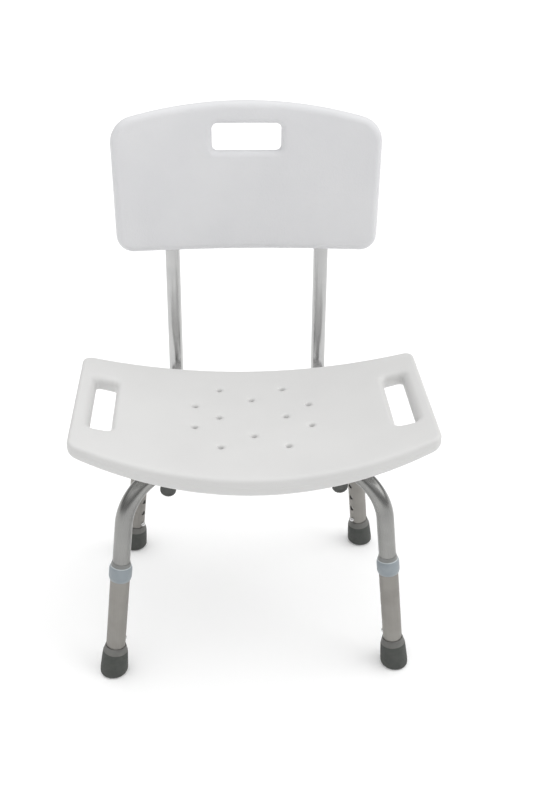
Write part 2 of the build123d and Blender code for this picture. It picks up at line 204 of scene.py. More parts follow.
def turnedMesh(profile, place, sides=48, shape=None):
    # profile is a closed run of (radius, height); radius 0 ends it on the axis
    mesh = bmesh.new()
    around = mesh.loops.layers.uv.new("turned")
    rings = []
    for radius, height in profile:
        if radius < 1e-7:
            rings.append([mesh.verts.new(place @ Vector((0, 0, height)))])
            continue
        ring = []
        for k in range(sides):
            turn = 2 * math.pi * k / sides
            point = Vector((radius * math.cos(turn), radius * math.sin(turn), height))
            ring.append(mesh.verts.new(place @ (shape(point, turn) if shape else point)))
        rings.append(ring)
    run = 0.0
    for i, ring in enumerate(rings):
        nextRing = rings[(i + 1) % len(rings)]
        a, b = profile[i], profile[(i + 1) % len(profile)]
        step = math.hypot(a[0] - b[0], a[1] - b[1])
        if len(ring) == 1 and len(nextRing) == 1:
            continue
        for k in range(sides):
            j = (k + 1) % sides
            quad = [ring[k % len(ring)], ring[j % len(ring)]]
            quad += [nextRing[j % len(nextRing)], nextRing[k % len(nextRing)]]
            spots = [(k, run), (k + 1, run), (k + 1, run + step), (k, run + step)]
            kept = [n for n in range(4) if quad[n] not in quad[:n]]
            face = mesh.faces.new([quad[n] for n in kept])
            for loop, n in zip(face.loops, kept):
                across = spots[n][0] / sides * 2 * math.pi * max(a[0], b[0])
                loop[around].uv = (across, spots[n][1])
        run += step
    return mesh


def sweptTube(path, radius, wall, sides=40):
    # a hollow tube along a line of points, with a uv map in metres: round the tube, along the tube
    mesh = bmesh.new()
    lengthwise = mesh.loops.layers.uv.new("lengthwise")
    tangents = []
    for i in range(len(path)):
        a, b = path[max(i - 1, 0)], path[min(i + 1, len(path) - 1)]
        tangents.append((b - a).normalized())
    side = tangents[0].orthogonal().normalized()
    outer, inner, runs = [], [], [0.0]
    for i, (point, tangent) in enumerate(zip(path, tangents)):
        side = (side - tangent * side.dot(tangent)).normalized()
        up = tangent.cross(side)
        turns = [2 * math.pi * k / sides for k in range(sides)]
        spokes = [side * math.cos(t) + up * math.sin(t) for t in turns]
        outer.append(ringOf(mesh, [point + s * radius for s in spokes]))
        inner.append(ringOf(mesh, [point + s * (radius - wall) for s in spokes]))
        if i:
            runs.append(runs[-1] + (point - path[i - 1]).length)

    def skin(first, second, low, high):
        for k in range(sides):
            j = (k + 1) % sides
            face = mesh.faces.new((first[k], first[j], second[j], second[k]))
            across = 2 * math.pi * radius / sides
            for loop, uv in zip(face.loops, ((k, low), (k + 1, low), (k + 1, high), (k, high))):
                loop[lengthwise].uv = (uv[0] * across, uv[1])

    for i in range(len(path) - 1):
        skin(outer[i], outer[i + 1], runs[i], runs[i + 1])
        skin(inner[i], inner[i + 1], runs[i], runs[i + 1])
    skin(outer[0], inner[0], 0, wall)
    skin(outer[-1], inner[-1], runs[-1], runs[-1] + wall)
    return mesh


def startMaterial(name, settings):
    # settings gives the shader's own sockets
    material = bpy.data.materials.new(name)
    material.use_nodes = True
    nodes, links = material.node_tree.nodes, material.node_tree.links
    shader = nodes["Principled BSDF"]
    for socket, value in settings.items():
        shader.inputs[socket].default_value = value
    return material, nodes, links, shader


def noiseNode(nodes, links, source, scale, detail=3.0, roughness=0.5, stretch=None):
    noise = nodes.new("ShaderNodeTexNoise")
    noise.inputs["Scale"].default_value = scale
    noise.inputs["Detail"].default_value = detail
    noise.inputs["Roughness"].default_value = roughness
    if stretch:
        mapping = nodes.new("ShaderNodeMapping")
        mapping.inputs["Scale"].default_value = stretch
        links.new(source, mapping.inputs["Vector"])
        source = mapping.outputs["Vector"]
    links.new(source, noise.inputs["Vector"])
    return noise.outputs["Fac"]


def spread(nodes, links, source, low, high, fromLow=0.3, fromHigh=0.7):
    remap = nodes.new("ShaderNodeMapRange")
    for socket, value in (("From Min", fromLow), ("From Max", fromHigh), ("To Min", low), ("To Max", high)):
        remap.inputs[socket].default_value = value
    links.new(source, remap.inputs["Value"])
    return remap.outputs["Result"]


def tint(nodes, links, source, first, second, low=0.3, high=0.7):
    ramp = nodes.new("ShaderNodeValToRGB")
    ramp.color_ramp.elements[0].position = low
    ramp.color_ramp.elements[1].position = high
    ramp.color_ramp.elements[0].color = (*first, 1)
    ramp.color_ramp.elements[1].color = (*second, 1)
    links.new(source, ramp.inputs["Fac"])
    return ramp.outputs["Color"]


def bumpNode(nodes, links, height, strength, distance, under=None):
    bump = nodes.new("ShaderNodeBump")
    bump.inputs["Strength"].default_value = strength
    bump.inputs["Distance"].default_value = distance
    links.new(height, bump.inputs["Height"])
    if under:
        links.new(under, bump.inputs["Normal"])
    return bump.outputs["Normal"]


def placeOf(nodes, uvName=None):
    if uvName:
        uv = nodes.new("ShaderNodeUVMap")
        uv.uv_map = uvName
        return uv.outputs["UV"]
    return nodes.new("ShaderNodeTexCoord").outputs["Object"]


mouldedSeat = {
    "colour": ((0.632, 0.630, 0.624), (0.657, 0.655, 0.648)),
    "roughness": (0.40, 0.50),
    "waviness": 0.0006,      # metres, the slow unevenness of a blown wall
    "grain": 0.00004,
}


def seatPlasticMaterial():
    material, nodes, links, shader = startMaterial("seatPlastic", {"IOR": 1.5, "Specular IOR Level": 0.45})
    place = placeOf(nodes)
    broad = noiseNode(nodes, links, place, 9, 2)
    links.new(tint(nodes, links, broad, *mouldedSeat["colour"]), shader.inputs["Base Color"])
    smear = noiseNode(nodes, links, place, 60, 4, 0.6)
    links.new(spread(nodes, links, smear, *mouldedSeat["roughness"]), shader.inputs["Roughness"])
    fine = noiseNode(nodes, links, place, 1400, 2)
    waves = bumpNode(nodes, links, broad, 0.35, mouldedSeat["waviness"])
    links.new(bumpNode(nodes, links, fine, 0.5, mouldedSeat["grain"], waves), shader.inputs["Normal"])
    return material


mouldedBack = {
    "colour": ((0.705, 0.707, 0.722), (0.735, 0.736, 0.748)),
    "roughness": (0.46, 0.58),
    "pebble": 420,           # cells per metre
    "pebbleDepth": 0.00035,
}


def backPlasticMaterial():
    material, nodes, links, shader = startMaterial("backrestPlastic", {"IOR": 1.5, "Specular IOR Level": 0.4})
    place = placeOf(nodes)
    broad = noiseNode(nodes, links, place, 11, 2)
    links.new(tint(nodes, links, broad, *mouldedBack["colour"]), shader.inputs["Base Color"])
    smear = noiseNode(nodes, links, place, 90, 4, 0.6)
    links.new(spread(nodes, links, smear, *mouldedBack["roughness"]), shader.inputs["Roughness"])
    cells = nodes.new("ShaderNodeTexVoronoi")
    cells.feature = "SMOOTH_F1"
    cells.inputs["Scale"].default_value = mouldedBack["pebble"]
    cells.inputs["Smoothness"].default_value = 0.7
    links.new(place, cells.inputs["Vector"])
    creases = noiseNode(nodes, links, place, 260, 5, 0.65)
    pebbles = bumpNode(nodes, links, cells.outputs["Distance"], 0.45, mouldedBack["pebbleDepth"])
    links.new(bumpNode(nodes, links, creases, 0.5, mouldedBack["pebbleDepth"], pebbles), shader.inputs["Normal"])
    return material


satinTube = {
    "colour": ((0.25, 0.25, 0.245), (0.31, 0.31, 0.30)),
    "roughness": (0.24, 0.32),
    "drawLines": 0.00002,
}
# painted light: the posts get a lighter copy of the frames' tube colour, standing in for the light they catch
litPostTube = {
    "colour": ((0.44, 0.44, 0.44), (0.52, 0.52, 0.515)),
    "roughness": (0.20, 0.28),
    "drawLines": 0.00002,
}
mattTube = {
    "colour": ((0.26, 0.25, 0.235), (0.31, 0.30, 0.28)),
    "roughness": (0.42, 0.52),
    "drawLines": 0.00003,
}


def tubeMaterial(name, finish, uvName):
    material, nodes, links, shader = startMaterial(name, {"Metallic": 1.0})
    along = placeOf(nodes, uvName)
    place = placeOf(nodes)
    streaks = noiseNode(nodes, links, along, 1.0, 4, 0.6, (900, 6, 1))
    clouds = noiseNode(nodes, links, place, 25, 3)
    links.new(tint(nodes, links, clouds, *finish["colour"]), shader.inputs["Base Color"])
    links.new(spread(nodes, links, streaks, *finish["roughness"]), shader.inputs["Roughness"])
    links.new(bumpNode(nodes, links, streaks, 0.4, finish["drawLines"]), shader.inputs["Normal"])
    return material


def smallPartMaterial(name, colours, roughness, grainScale, grain, metallic=0.0):
    material, nodes, links, shader = startMaterial(name, {"Metallic": metallic, "Specular IOR Level": 0.5})
    place = placeOf(nodes)
    clouds = noiseNode(nodes, links, place, 70, 3)
    links.new(tint(nodes, links, clouds, *colours), shader.inputs["Base Color"])
    smear = noiseNode(nodes, links, place, 240, 3, 0.6)
    links.new(spread(nodes, links, smear, *roughness), shader.inputs["Roughness"])
    fine = noiseNode(nodes, links, place, grainScale, 3)
    links.new(bumpNode(nodes, links, fine, 0.5, grain), shader.inputs["Normal"])
    return material


smallFinishes = {
    "collarPlastic": {
        "colours": ((0.25, 0.285, 0.31), (0.29, 0.325, 0.35)),
        "roughness": (0.35, 0.45), "grainScale": 1500, "grain": 0.00002,
    },
    # painted highlight: a pale line where the collar's rounded shoulder catches the light
    "collarCrest": {
        "colours": ((0.46, 0.50, 0.52), (0.52, 0.56, 0.58)),
        "roughness": (0.25, 0.35), "grainScale": 1500, "grain": 0.00002,
    },
    # painted shade: a darker grey for the top cone, where the collar meets the tube
    "collarLip": {
        "colours": ((0.20, 0.205, 0.20), (0.24, 0.245, 0.24)),
        "roughness": (0.35, 0.45), "grainScale": 1500, "grain": 0.00002,
    },
    # painted light: a lighter rubber for the foot's upward-facing shoulder, standing in for the light it catches
    "scuffedRubber": {
        "colours": ((0.125, 0.125, 0.118), (0.165, 0.165, 0.155)),
        "roughness": (0.5, 0.65), "grainScale": 1300, "grain": 0.00006,
    },
    "footRubber": {
        "colours": ((0.050, 0.055, 0.050), (0.066, 0.070, 0.064)),
        "roughness": (0.6, 0.75), "grainScale": 1300, "grain": 0.00006,
    },
    "capPlastic": {
        "colours": ((0.075, 0.078, 0.074), (0.095, 0.098, 0.093)),
        "roughness": (0.5, 0.65), "grainScale": 1100, "grain": 0.00008,
    },
    "saddlePlastic": {
        "colours": ((0.20, 0.205, 0.21), (0.24, 0.245, 0.25)),
        "roughness": (0.5, 0.6), "grainScale": 1300, "grain": 0.00004,
    },
    "buttonSteel": {
        "colours": ((0.62, 0.62, 0.62), (0.70, 0.70, 0.70)),
        "roughness": (0.12, 0.2), "grainScale": 2500, "grain": 0.000005, "metallic": 1.0,
    },
    "springSteel": {
        "colours": ((0.42, 0.42, 0.43), (0.50, 0.50, 0.50)),
        "roughness": (0.25, 0.35), "grainScale": 1800, "grain": 0.00001, "metallic": 1.0,
    },
    "zincSteel": {
        "colours": ((0.50, 0.51, 0.53), (0.60, 0.60, 0.59)),
        "roughness": (0.28, 0.42), "grainScale": 1600, "grain": 0.00002, "metallic": 1.0,
    },
    "brassInsert": {
        "colours": ((0.58, 0.42, 0.17), (0.66, 0.49, 0.21)),
        "roughness": (0.3, 0.4), "grainScale": 1400, "grain": 0.00004, "metallic": 1.0,
    },
}

seatPlastic = seatPlasticMaterial()
backPlastic = backPlasticMaterial()
satinAluminium = tubeMaterial("satinAluminium", satinTube, "lengthwise")
# the posts' tube, lightened as painted light
brightAluminium = tubeMaterial("brightAluminium", litPostTube, "lengthwise")
mattAluminium = tubeMaterial("mattAluminium", mattTube, "lengthwise")
finishes = {name: smallPartMaterial(name, **finish) for name, finish in smallFinishes.items()}
print("finishes made")


seat = {
    "halfWidth": 0.252,
    "centreTop": 0.3655,       # height of the skin on the centre line
    "rise": 0.0366,            # how far the ends rise above that
    "thick": 0.028,            # in the middle
    "endThick": 0.0225,
    "frontBow": 0.043,
    "backBow": 0.009,
    "cornerRadius": 0.017,
    "topEdge": 0.007,
    "underEdge": 0.008,
    "seam": 0.00025,           # how far the moulding's parting line stands out
    "handHold": (0.198, 0.228),
    "handHoldLong": (0.0995, 0.2345),   # from the front edge's middle
    "handHoldCorner": 0.008,
    "handHoldRim": 0.010,
    "handHoldUnderRim": 0.009,
    "drainMiddle": 0.161,      # from the front edge's middle
    "drains": ((0.047, 0.0785), (0.083, 0.0288), (0.048, 0.0), (0.0, 0.0497)),
    "drainRadius": 0.0030,
    # a drain's dimpled mouth: how much wider than the hole, how far below the top
    "drainMouth": (
        (0.0058, 0.0), (0.0034, 0.0004), (0.0021, 0.0011), (0.0012, 0.0021), (0.0005, 0.0036), (0.0, 0.0060),
    ),
    "drainSides": 20,
    "boss": 0.015,
    # wider than the boss, below the underside
    "bossFoot": ((0.004, 0), (0.0018, 0.0008), (0.0005, 0.0028), (0, 0.005)),
    "bossFace": ((0, 0.0010), (-0.0004, 0.0003), (-0.0012, 0)),    # wider than the boss, above its face
    "bossSocket": (0.00505, 0.0162),    # radius, depth
    "recess": 0.0495,
    "recessMouth": ((0.002, 0), (0.0006, 0.0007), (0, 0.002)),    # wider than the recess, above the underside
    "recessCorner": ((0, 0.003), (0.0009, 0.0009), (0.003, 0)),    # in from its wall, below its roof
    "recessSides": 64,
    "recessRoof": 0.350,
    "grid": 0.009,
}


def edgeProfile(topRadius, underRadius, thick, seam=0.0, steps=7):
    # (how far in from the wall, how far down from the top skin) round a moulded edge
    profile = []
    for i in range(steps + 1):
        t = math.pi / 2 * i / steps
        profile.append((topRadius * (1 - math.sin(t)), topRadius * (1 - math.cos(t))))
    if seam:
        middle, ridge, slope = 0.45 * thick, 0.0003, 0.0009    # half the ridge's top, half its foot
        profile += [(0, middle - slope), (-seam, middle - ridge), (-seam, middle + ridge), (0, middle + slope)]
    for i in range(steps + 1):
        t = math.pi / 2 * i / steps
        profile.append((underRadius * (1 - math.cos(t)), thick - underRadius * (1 - math.sin(t))))
    return profile


def seatOutline():
    low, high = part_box("seat_panel")
    w = seat["halfWidth"] - seat["seam"]
    front, back = low.y + seat["seam"], high.y - seat["seam"]
    frontRadius = (w * w + seat["frontBow"] ** 2) / (2 * seat["frontBow"])
    backRadius = (w * w + seat["backBow"] ** 2) / (2 * seat["backBow"])
    frontCentre, backCentre = Vector((0, front + frontRadius)), Vector((0, back - backRadius))
    frontCorner, backCorner = Vector((w, front + seat["frontBow"])), Vector((w, back - seat["backBow"]))
    inward = Vector((-1, 0))
    first = cornerOnArc(backCorner, frontCorner, inward, frontCentre, frontRadius, seat["cornerRadius"])
    second = cornerOnArc(frontCorner, backCorner, inward, backCentre, backRadius, seat["cornerRadius"])
    frontBow = arcBetween(frontCentre, Vector((0, front)), first[-1], 0.7)
    backBow = arcBetween(backCentre, second[-1], Vector((0, back)), 0.16)
    side = spaced([first[0], second[0]], seat["grid"], False)
    half = frontBow[:-1] + first[::-1] + side[1:-1] + second + backBow[1:]
    return half + [Vector((-p.x, p.y)) for p in half[-2:0:-1]]


def seatSkins(x):
    # heights of the top and the bottom skin; the seat thins towards its ends
    w, heights = seat["halfWidth"], []
    for low, rise in ((0, seat["rise"]), (seat["thick"], seat["rise"] + seat["thick"] - seat["endThick"])):
        curve = (w * w + rise * rise) / (2 * rise)
        heights.append(seat["centreTop"] - low + curve - math.sqrt(curve**2 - x * x))
    return heights


def seatPoint(p, down):
    top, bottom = seatSkins(p.x)
    thick = seat["thick"]
    return Vector((p.x, p.y, top - down if down < thick / 2 else bottom + thick - down))


def buildSeat():
    mesh = bmesh.new()
    low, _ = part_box("seat_panel")
    outline = seatOutline()
    tops, unders = [], []

    rim = edgeProfile(seat["topEdge"], seat["underEdge"], seat["thick"], seat["seam"])
    outerTop, outerUnder = edgeWall(mesh, outline, rim, 1, seatPoint)

    # hand holds
    x0, x1 = seat["handHold"]
    y0, y1 = (low.y + y for y in seat["handHoldLong"])
    for side in (1, -1):
        xs = sorted((side * x0, side * x1))
        hole = [Vector((xs[0], y0)), Vector((xs[1], y0)), Vector((xs[1], y1)), Vector((xs[0], y1))]
        hole = spaced(roundCorners(hole, seat["handHoldCorner"], True, 12), seat["grid"])
        profile = edgeProfile(seat["handHoldRim"], seat["handHoldUnderRim"], seat["thick"])
        top, under = edgeWall(mesh, hole, profile, -1, seatPoint)
        tops.append(top)
        unders.append(under)

    # bosses round the seat bolts, with their sockets
    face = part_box("seat_inserts")[0].z
    socket, deep = seat["bossSocket"]
    for x, y in boltSpots():
        rings = [(seat["boss"] + wider, drop, None) for wider, drop in seat["bossFoot"]]
        rings += [(seat["boss"] + wider, 0, face + lift) for wider, lift in seat["bossFace"]]
        rings += [(socket, 0, face), (socket, 0, face + deep)]
        verts = []
        for radius, drop, height in rings:
            loop = circleLoop(x, y, radius)
            verts.append(ringOf(mesh, [Vector((p.x, p.y, height or seatSkins(p.x)[1] - drop)) for p in loop]))
        joinStack(mesh, verts)
        mesh.faces.new(verts[-1])
        unders.append((circleLoop(x, y, rings[0][0]), verts[0]))

    # the hollow that the crossing of the frames sits in
    crossX, crossY = crossingSpot()
    roof, wallRadius, sides = seat["recessRoof"], seat["recess"], seat["recessSides"]
    rings = [(wallRadius + wider, lift, None) for wider, lift in seat["recessMouth"]]
    rings += [(wallRadius - inner, 0, roof - drop) for inner, drop in seat["recessCorner"]]
    verts = []
    for radius, lift, height in rings:
        loop = circleLoop(crossX, crossY, radius, sides)
        verts.append(ringOf(mesh, [Vector((p.x, p.y, height or seatSkins(p.x)[1] + lift)) for p in loop]))
    joinStack(mesh, verts)
    unders.append((circleLoop(crossX, crossY, rings[0][0], sides), verts[0]))
    roofRing, roofHoles = (circleLoop(crossX, crossY, rings[-1][0], sides), verts[-1]), []

    # drain holes: a soft dimple above, a plain hole below
    r, thick, mouth = seat["drainRadius"], seat["thick"], seat["drainMouth"]
    middle = low.y + seat["drainMiddle"]
    drains = sorted({(sx * x, middle + sy * y) for x, y in seat["drains"] for sx in (1, -1) for sy in (1, -1)})
    for x, y in drains:
        rings = [circleLoop(x, y, r + across, seat["drainSides"]) for across, _ in mouth]
        verts = [ringOf(mesh, [seatPoint(p, down) for p in ring]) for ring, (_, down) in zip(rings, mouth)]
        inRecess = math.hypot(x - crossX, y - crossY) < wallRadius
        last = circleLoop(x, y, r, seat["drainSides"])
        verts.append(ringOf(mesh, [Vector((p.x, p.y, roof)) if inRecess else seatPoint(p, thick) for p in last]))
        joinStack(mesh, verts)
        tops.append((rings[0], verts[0]))
        (roofHoles if inRecess else unders).append((last, verts[-1]))

    fillBetween(mesh, roofRing, roofHoles, lambda p: Vector((p.x, p.y, roof)), seat["grid"])
    fillBetween(mesh, outerTop, tops, lambda p: seatPoint(p, 0), seat["grid"])
    fillBetween(mesh, outerUnder, unders, lambda p: seatPoint(p, thick), seat["grid"])
    return newPiece("seatMoulding", mesh, seatPlastic, "stool", ["seat_panel"], 40)


posts = {
    "x": 0.115,                # of the upright part, from the middle
    "frontX": 0.122,           # the run under the seat toes in towards the back
    "frontEnd": 0.097,         # how far ahead of the feet's middle the run ends
    "radius": 0.0111,
    "wall": 0.0015,
    "runHeight": 0.2935,
    "bend": 0.065,
    "lean": math.radians(6.6),
    "seatHeight": 0.3655,      # where the lean is measured from
    "length": 0.337,           # up from there
    "behind": 0.1948,          # how far behind the feet's middle the post is at that height
}


def stoolMiddleY():
    # half way between the front and the back feet
    return sum(soles[c].y for c in corners) / len(corners)


def postStartY():
    return stoolMiddleY() - posts["frontEnd"]


def postCornerY():
    # where the run would meet the upright without its bend
    return stoolMiddleY() + posts["behind"] - math.tan(posts["lean"]) * (posts["seatHeight"] - posts["runHeight"])


def postX(y):
    front = postStartY()
    return posts["frontX"] + (posts["x"] - posts["frontX"]) * (y - front) / (postCornerY() - front)


def boltSpots():
    # where a backrest tube runs under a leg frame
    spots = []
    for side in (1, -1):
        for front, back in (("front_left", "back_right"), ("front_right", "back_left")):
            start, end = soles[front], soles[back]
            gaps = []
            for y in (start.y, end.y):
                along = (y - start.y) / (end.y - start.y)
                gaps.append(start.x + (end.x - start.x) * along - side * postX(y))
            y = start.y - gaps[0] * (end.y - start.y) / (gaps[1] - gaps[0])
            spots.append((side * postX(y), y))
    return spots


def crossingSpot():
    low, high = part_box("crossing_rivet")
    return (low.x + high.x) / 2, (low.y + high.y) / 2


buildSeat()
print("seat built")


backrest = {
    "top": 0.3848,             # up the posts, from the seat's height
    "bottom": 0.165,
    "halfTop": 0.200,
    "halfBottom": 0.1975,
    "thick": 0.025,
    "curve": 1.078,            # radius the panel is bent to
    "arch": 0.700,             # radius of the top edge
    "front": -0.021,           # front skin at a post, from the post's middle
    "cornerTop": 0.038,
    "cornerBottom": 0.026,
    "edge": 0.011,
    "slot": (0.103, 0.040),
    "slotHeight": 0.333,
    "slotCorner": 0.008,
    "slotRim": 0.009,
    "groove": 0.0114,
    "grooveFrom": 0.1,         # below the panel, so that the groove runs out of it
    "grooveTop": 0.343,
    "grooveOpen": 0.05,        # behind the panel
    "seam": 0.0002,
    "grid": 0.009,
}


def backFrame():
    # the backrest's own axes: y out of its back, z up the posts
    lean = posts["lean"]
    turn = Matrix(((1, 0, 0), (0, math.cos(lean), math.sin(lean)), (0, -math.sin(lean), math.cos(lean)))).to_4x4()
    return Matrix.Translation((0, stoolMiddleY() + posts["behind"], posts["seatHeight"])) @ turn


def backSkins(x):
    # how far back the front and the rear skin are
    curve = backrest["curve"]
    middle = backrest["front"] + posts["x"] ** 2 / (2 * curve) - curve
    return middle + math.sqrt(curve**2 - x * x), middle + math.sqrt((curve + backrest["thick"]) ** 2 - x * x)


def backOutline():
    top, bottom, arch = backrest["top"], backrest["bottom"], backrest["arch"]
    wide, narrow = backrest["halfTop"] - backrest["seam"], backrest["halfBottom"] - backrest["seam"]
    drop = backrest["halfTop"] ** 2 / (2 * arch)
    low, high = Vector((narrow, bottom)), Vector((wide, top - drop))
    along = (high - low).normalized()
    inward = Vector((-along.y, along.x))
    archMiddle = Vector((0, top - arch))
    upper = cornerOnArc(low, high, inward, archMiddle, arch, backrest["cornerTop"])
    lower = roundCorners([Vector((0, bottom)), low, high], [0, backrest["cornerBottom"], 0])[1:-1]
    half = spaced([Vector((0, bottom)), lower[0]], backrest["grid"], False)[:-1] + lower
    half += spaced([lower[-1], upper[0]], backrest["grid"], False)[1:-1] + upper
    half += arcBetween(archMiddle, upper[-1], Vector((0, top)), 0.75)[1:]
    return half + [Vector((-p.x, p.y)) for p in half[-2:0:-1]]


def grooveCutter(side):
    # the channel a post lies in: a round bottom, straight sides, open to the rear
    r, x, rear, facets = backrest["groove"], side * posts["x"], backrest["grooveOpen"], 24
    mesh = bmesh.new()
    turns = [math.pi + math.pi * k / facets for k in range(facets + 1)]
    outline = [Vector((x + r * math.cos(t), r * math.sin(t), 0)) for t in turns]
    outline += [Vector((x + r, rear, 0)), Vector((x - r, rear, 0))]
    heights = (backrest["grooveFrom"], backrest["grooveTop"])
    ends = [ringOf(mesh, [p + Vector((0, 0, height)) for p in outline]) for height in heights]
    joinRings(mesh, *ends)
    for end in ends:
        mesh.faces.new(end)
    bmesh.ops.recalc_face_normals(mesh, faces=mesh.faces)
    return mesh


def buildBackrest():
    mesh = bmesh.new()

    def point(p, deep):
        front, rear = backSkins(p.x)
        return Vector((p.x, front + (rear - front) * deep / backrest["thick"], p.y))

    edge, rim, thick = backrest["edge"], backrest["slotRim"], backrest["thick"]
    front, rear = edgeWall(mesh, backOutline(), edgeProfile(edge, edge, thick, backrest["seam"]), 1, point)
    w, h = (v / 2 for v in backrest["slot"])
    z = backrest["slotHeight"]
    hole = [Vector((-w, z - h)), Vector((w, z - h)), Vector((w, z + h)), Vector((-w, z + h))]
    hole = spaced(roundCorners(hole, backrest["slotCorner"], True, 12), backrest["grid"])
    holeFront, holeRear = edgeWall(mesh, hole, edgeProfile(rim, rim, thick), -1, point)
    fillBetween(mesh, front, [holeFront], lambda p: point(p, 0), backrest["grid"])
    fillBetween(mesh, rear, [holeRear], lambda p: point(p, thick), backrest["grid"])
    bmesh.ops.recalc_face_normals(mesh, faces=mesh.faces)
    panel = bpy.data.objects.new("panelBlank", bpy.data.meshes.new("panelBlank"))
    bpy.context.scene.collection.objects.link(panel)
    mesh.to_mesh(panel.data)
    mesh.free()
    for side in (1, -1):
        cutterMesh = grooveCutter(side)
        cutter = bpy.data.objects.new("grooveCutter", bpy.data.meshes.new("grooveCutter"))
        bpy.context.scene.collection.objects.link(cutter)
        cutterMesh.to_mesh(cutter.data)
        cutterMesh.free()
        cut = panel.modifiers.new("groove", "BOOLEAN")
        cut.operation, cut.object, cut.solver = "DIFFERENCE", cutter, "EXACT"
        bpy.context.view_layer.update()
        shaped = bpy.data.meshes.new_from_object(panel.evaluated_get(bpy.context.evaluated_depsgraph_get()))
        panel.modifiers.clear()
        panel.data = shaped
        bpy.data.objects.remove(cutter)
    final = bmesh.new()
    final.from_mesh(panel.data)
    bpy.data.objects.remove(panel)
    final.transform(backFrame())
    return newPiece("backrestMoulding", final, backPlastic, "stool", ["backrest_panel"], 38)


buildBackrest()
print("backrest built")


legFrames = {
    "radius": 0.0125,
    "wall": 0.0015,
    "runHeight": 0.320,
    "bend": 0.070,
    "joggle": 0.0135,          # one frame rises and one drops by this where they cross
    "joggleInner": 0.024,
    "joggleOuter": 0.058,
    "joggleBend": 0.060,
    "end": 0.040,              # up the leg's axis
}


def legMatrix(corner):
    # a leg's own axes: z up the leg, x towards the middle of the stool
    up = -Vector(joints["leg_slide_" + corner]["axis"]).normalized()
    across = -Vector(joints["button_press_" + corner]["axis"]).normalized()
    rows = zip(across, up.cross(across), up)
    return Matrix.Translation(soles[corner]) @ Matrix(list(rows)).to_4x4()


def buildLegFrame(name, node, front, back, rise):
    start, end = soles[front], soles[back]
    middle, along = (start + end) / 2, (end - start).normalized()
    height, low = legFrames["runHeight"], legFrames["end"]
    up = legMatrix(front).to_3x3().col[2]
    slope = math.hypot(up.x, up.y) / up.z
    halfSpan = (end - start).length / 2
    corner = halfSpan - height * slope
    crossing = -middle.x / along.x

    def at(distance, level):
        return middle + along * distance + Vector((0, 0, level))

    first, second = start + legMatrix(front).to_3x3().col[2] * low, end + legMatrix(back).to_3x3().col[2] * low
    inner, outer = legFrames["joggleInner"], legFrames["joggleOuter"]
    points = [first, at(-corner, height), at(crossing - outer, height), at(crossing - inner, height + rise)]
    points += [at(crossing + inner, height + rise), at(crossing + outer, height), at(corner, height), second]
    bend, small = legFrames["bend"], legFrames["joggleBend"]
    path = roundCorners(points, [0, bend, small, small, small, small, bend, 0], step=4)
    mesh = sweptTube(spaced(path, 0.02, False), legFrames["radius"], legFrames["wall"])
    return newPiece(name, mesh, satinAluminium, "stool", [node], 45)


def buildPost(name, node, side):
    lean, rise = math.tan(posts["lean"]), posts["length"] * math.cos(posts["lean"])
    atSeat, x = stoolMiddleY() + posts["behind"], side * posts["x"]
    points = [(side * posts["frontX"], postStartY(), posts["runHeight"]), (x, postCornerY(), posts["runHeight"])]
    points.append((x, atSeat + lean * rise, posts["seatHeight"] + rise))
    path = roundCorners(points, [0, posts["bend"], 0], step=4)
    mesh = sweptTube(spaced(path, 0.02, False), posts["radius"], posts["wall"])
    # the lighter tube colour on the posts is painted light
    return newPiece(name, mesh, brightAluminium, "stool", [node], 45)


buildLegFrame("upperLegFrame", "leg_frame_upper", "front_left", "back_right", legFrames["joggle"])
buildLegFrame("lowerLegFrame", "leg_frame_lower", "front_right", "back_left", -legFrames["joggle"])
buildPost("leftPost", "backrest_tube_left", 1)
buildPost("rightPost", "backrest_tube_right", -1)
print("frames and posts built")


leg = {
    "radius": 0.0143,
    "wall": 0.0014,
    "bottom": 0.0105,
    "top": 0.188,
    "firstHole": 0.0565,
    "pitch": 0.025,
    "holes": 5,
    "holeRadius": 0.0042,
    "paintDepth": 0.0016,      # the painted light and shade bands reach this far inside the tube's outer skin
    "columns": 48,
    "grid": 0.0045,
    "sideGap": 0.006,
}
hairGap = 0.00005              # between two faces that would lie in one plane
collar = {
    "grip": 0.01262,
    "outline": (
        (0.01435, 0.1700), (0.0153, 0.1700), (0.0166, 0.1745), (0.0166, 0.1867), (0.0162, 0.1897),
        (0.0151, 0.1928), (0.0145, 0.1938), (0.0136, 0.1967), (0.0130, 0.1992),
    ),
    "crest": (0.1926, 0.1943),    # heights of the painted highlight round it, and of the painted shade on the lip above
    "rounding": (0, 0.0004, 0.0040, 0.0040, 0.0030, 0.0006, 0.0008, 0.0020, 0.0003),
}
foot = {
    "outline": (
        (0.0205, 0.009), (0.0197, 0.024), (0.0187, 0.037), (0.0182, 0.040), (0.0173, 0.0424),
        (0.0156, 0.0485), (0.0152, 0.050),
    ),
    "rounding": (0, 0.03, 0.01, 0.001, 0.002, 0.002, 0),
    # the painted light on the shoulder starts at this height up the leg
    "scuffFrom": 0.0401,
    "sole": 0.009,
    "bore": 0.01435,
    "mouth": ((0.0003, 0.050), (0, 0.0496)),    # wider than the bore, up the leg
    "edge": 0.0052,
    "ribs": (0.0058, 0.0082, 0.0118, 0.0142),   # the two grooves in the tread
    "ribDepth": 0.0012,
}
button = {
    "radius": 0.0038,
    "dome": 0.0046,
    "tip": 0.0183,
    "flange": (0.0048, 0.0081, 0.0095),    # radius, inner face, outer face
}


